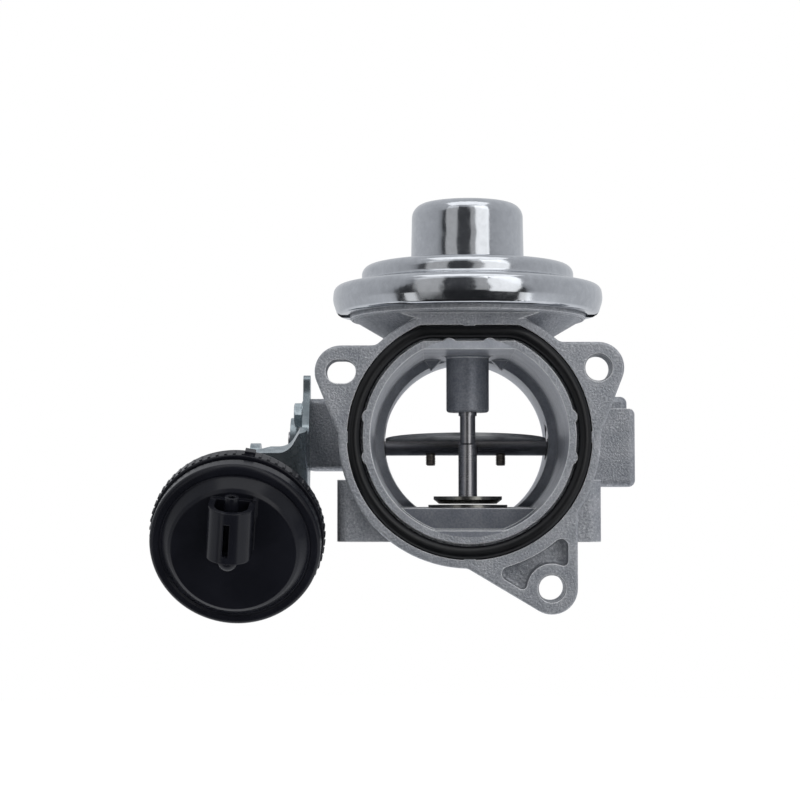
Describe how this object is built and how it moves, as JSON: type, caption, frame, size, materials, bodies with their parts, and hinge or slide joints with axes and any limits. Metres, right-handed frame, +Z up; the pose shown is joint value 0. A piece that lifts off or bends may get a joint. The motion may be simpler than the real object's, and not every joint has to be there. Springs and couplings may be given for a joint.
{
  "type": "egr valve",
  "caption": "Vacuum-operated exhaust gas recirculation valve with a throttle flap, lever and vacuum can on a cast flanged throat.",
  "frame": {"origin": "where the throat axis meets the manifold flange face", "axes": "+X to the right seen from the manifold, +Y along the throat towards the air hose, +Z up towards the vacuum dome"},
  "size_m": [0.1377, 0.1071, 0.1183],
  "materials": {
    "cast_aluminium": "sand-like die-cast skin, shot blasted",
    "bright_steel": "bright drawn steel sheet",
    "zinc_plated_steel": "blue-white zinc plating",
    "machined_steel": "turned and ground",
    "spring_steel": "drawn wire",
    "sintered_bronze": "oil-soaked sintered bush",
    "black_rubber": "moulded rubber",
    "black_nylon": "glass-filled nylon, fine satin skin"
  },
  "bodies": {
    "housing_assembly": {"housing": "cast_aluminium", "flange_o_ring": "black_rubber", "valve_seat": "machined_steel", "guide_bush": "machined_steel", "stem_seal": "machined_steel", "dome_base_plate": "zinc_plated_steel", "dome_diaphragm": "black_rubber", "dome_cover": "bright_steel", "dome_vacuum_tube": "bright_steel", "dome_spring": "spring_steel", "shaft_bushes": "sintered_bronze", "shaft_seal": "black_rubber", "shaft_plug": "zinc_plated_steel", "can_bracket": "zinc_plated_steel", "bracket_bolts": "zinc_plated_steel", "can_shell": "black_nylon", "can_lid": "black_nylon", "can_nuts": "zinc_plated_steel", "can_diaphragm": "black_rubber", "can_spring": "spring_steel"},
    "throttle": {"throttle_shaft": "machined_steel", "flap_plate": "machined_steel", "flap_screws": "machined_steel", "throttle_lever": "zinc_plated_steel", "lever_pin": "zinc_plated_steel", "pin_clip": "spring_steel"},
    "egr_valve": {"valve_stem": "machined_steel", "valve_disc": "machined_steel", "lower_diaphragm_plate": "zinc_plated_steel", "upper_diaphragm_plate": "zinc_plated_steel"},
    "actuator": {"piston_cup": "black_nylon", "actuator_rod": "zinc_plated_steel", "rod_eye": "zinc_plated_steel"}
  },
  "joints": [
    {"name": "throttle_turn", "type": "hinge", "parent": "housing_assembly", "child": "throttle", "pos_m": [0, 0.057, 0], "axis": [-1, 0, 0], "range_deg": [0, 77]},
    {"name": "rod_slide", "type": "slide", "parent": "housing_assembly", "child": "actuator", "axis": [0, -0.9336, -0.3584], "range_m": [0, 0.01232], "stiffness_N_per_m": 60, "springref_m": -0.01, "deforming": ["can_spring", "can_diaphragm"]},
    {"name": "valve_lift", "type": "slide", "parent": "housing_assembly", "child": "egr_valve", "axis": [0, 0, 1], "range_m": [0, 0.006], "stiffness_N_per_m": 3000, "springref_m": -0.004, "deforming": ["dome_spring", "dome_diaphragm"]}
  ],
  "couplings": [
    {"joint": "throttle_turn", "follows": "rod_slide", "rad_per_m": 109.14}
  ]
}
